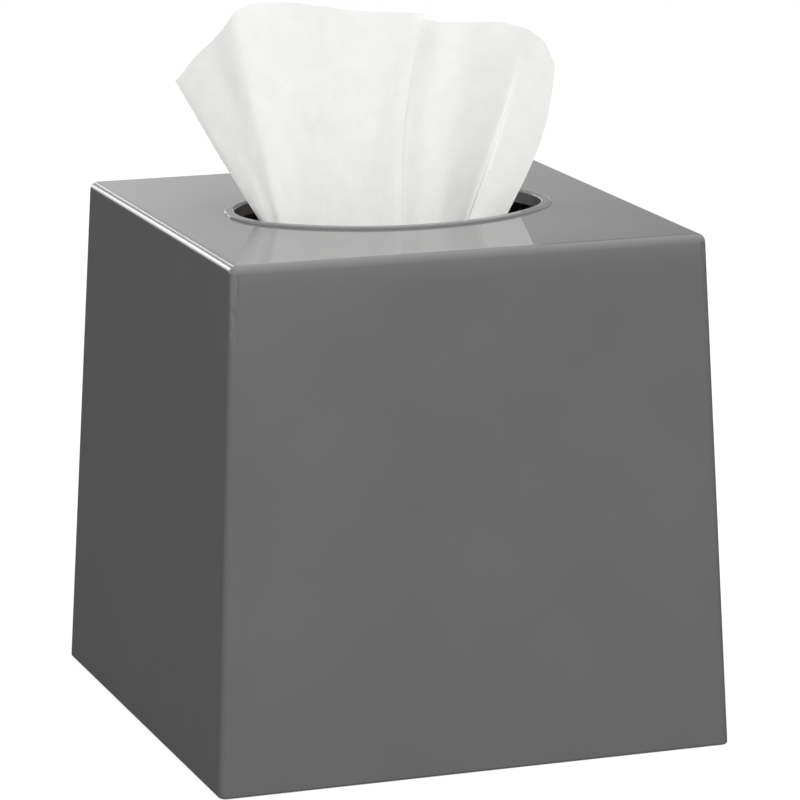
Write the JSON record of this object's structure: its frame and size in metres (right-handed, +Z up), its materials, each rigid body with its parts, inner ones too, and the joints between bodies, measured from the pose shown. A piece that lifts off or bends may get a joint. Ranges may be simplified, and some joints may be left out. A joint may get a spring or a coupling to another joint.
{
  "type": "tissue box cover",
  "caption": "Tapered square glossy cover over a cube tissue carton, with a sheet standing in a ringed oval opening; the cover lifts off and the sheet pulls out, drawing up the next.",
  "frame": {"origin": "middle of the cover's foot, on the surface it stands on", "axes": "+Z up, -Y the front, +X along the oval opening to the right as seen from the front"},
  "size_m": [0.146, 0.146, 0.2015],
  "materials": {
    "cover": "glossy moulded plastic, mid grey",
    "board": "plain uncoated kraft board",
    "film": "clear thin film",
    "tissue": "soft white two-ply tissue"
  },
  "bodies": {
    "carton": {"tissue_carton": "board", "carton_film": "film", "sheet_stack": "tissue"},
    "cover": {"cover_shell": "cover", "opening_ring": "cover"},
    "sheet": {"popup_sheet": "tissue"},
    "following_sheet": {"next_sheet": "tissue"}
  },
  "joints": [
    {"name": "cover_lift", "type": "slide", "parent": "carton", "child": "cover", "axis": [0, 0, 1], "range_m": [0, 0.14]},
    {"name": "sheet_pull", "type": "slide", "parent": "cover", "child": "sheet", "axis": [0, 0, 1], "range_m": [0, 0.1]},
    {"name": "next_rise", "type": "slide", "parent": "carton", "child": "following_sheet", "axis": [0, 0, 1], "range_m": [0, 0.06]}
  ],
  "couplings": [
    {"joint": "next_rise", "follows": "sheet_pull", "ratio": 0.6}
  ]
}
